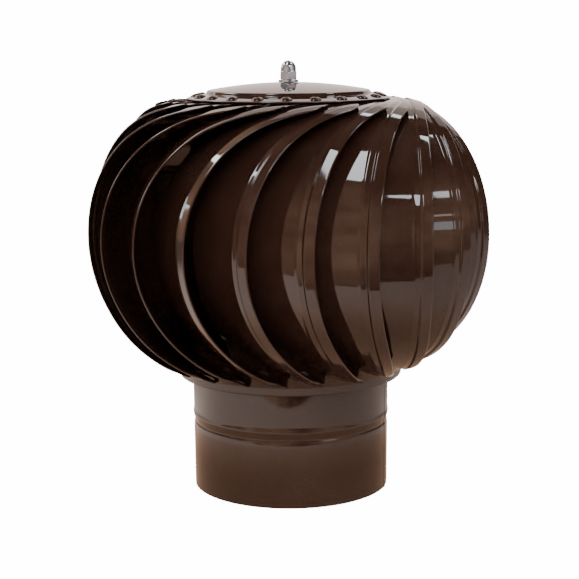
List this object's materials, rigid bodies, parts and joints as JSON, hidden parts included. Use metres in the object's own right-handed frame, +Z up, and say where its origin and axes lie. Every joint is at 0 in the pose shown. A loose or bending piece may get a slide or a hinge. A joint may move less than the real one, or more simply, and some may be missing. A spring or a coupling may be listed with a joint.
{
  "type": "turbine ventilator head",
  "caption": "Wind-driven roof ventilator: a globe of curved gloss brown blades between a lower ring and a domed disc, spinning on bearings inside a round duct collar.",
  "frame": {"origin": "on the axis of rotation, at the lower rim of the duct collar", "axes": "+Z up along the axis of rotation; one spider arm points 13 degrees off -Y"},
  "size_m": [0.3246, 0.3248, 0.3462],
  "materials": {
    "brown_paint": "gloss chocolate-brown powder coat",
    "bright_zinc": "bright zinc plate",
    "plain_zinc": "plain zinc plate, satin",
    "bearing_steel": "ground bearing steel",
    "spring_steel": "blued spring steel"
  },
  "bodies": {
    "base": {"duct_collar": "brown_paint", "spider_arm_1": "brown_paint", "spider_arm_2": "brown_paint", "spider_arm_3": "brown_paint", "bearing_housing": "plain_zinc", "lower_circlip": "spring_steel", "upper_circlip": "spring_steel", "lower_bearing_outer_ring": "bearing_steel", "lower_bearing_upper_shield": "bearing_steel", "lower_bearing_lower_shield": "bearing_steel", "upper_bearing_outer_ring": "bearing_steel", "upper_bearing_upper_shield": "bearing_steel", "upper_bearing_lower_shield": "bearing_steel"},
    "rotor": {"blade_01": "brown_paint", "blade_02": "brown_paint", "blade_03": "brown_paint", "blade_04": "brown_paint", "blade_05": "brown_paint", "blade_06": "brown_paint", "blade_07": "brown_paint", "blade_08": "brown_paint", "blade_09": "brown_paint", "blade_10": "brown_paint", "blade_11": "brown_paint", "blade_12": "brown_paint", "blade_13": "brown_paint", "blade_14": "brown_paint", "blade_15": "brown_paint", "blade_16": "brown_paint", "blade_17": "brown_paint", "blade_18": "brown_paint", "blade_19": "brown_paint", "blade_20": "brown_paint", "blade_21": "brown_paint", "lower_ring": "brown_paint", "top_disc": "brown_paint", "drive_shaft": "plain_zinc", "support_nut": "bright_zinc", "wide_washer": "bright_zinc", "top_washer": "bright_zinc", "cap_nut": "bright_zinc", "bearing_lock_nut": "bright_zinc", "thrust_washer": "bright_zinc", "bearing_spacer": "plain_zinc", "end_washer": "bright_zinc", "end_lock_nut": "bright_zinc", "lower_bearing_inner_ring": "bearing_steel", "upper_bearing_inner_ring": "bearing_steel"},
    "lower_cage": {"lower_bearing_ball_cage": "bearing_steel"},
    "upper_cage": {"upper_bearing_ball_cage": "bearing_steel"}
  },
  "joints": [
    {"name": "rotor_spin", "type": "hinge", "parent": "base", "child": "rotor", "pos_m": [0, 0, 0.083], "axis": [0, 0, 1], "continuous": true},
    {"name": "lower_cage_spin", "type": "hinge", "parent": "base", "child": "lower_cage", "pos_m": [0, 0, 0.069], "axis": [0, 0, 1], "continuous": true},
    {"name": "upper_cage_spin", "type": "hinge", "parent": "base", "child": "upper_cage", "pos_m": [0, 0, 0.097], "axis": [0, 0, 1], "continuous": true}
  ],
  "couplings": [
    {"joint": "lower_cage_spin", "follows": "rotor_spin", "ratio": 0.369},
    {"joint": "upper_cage_spin", "follows": "rotor_spin", "ratio": 0.369}
  ]
}
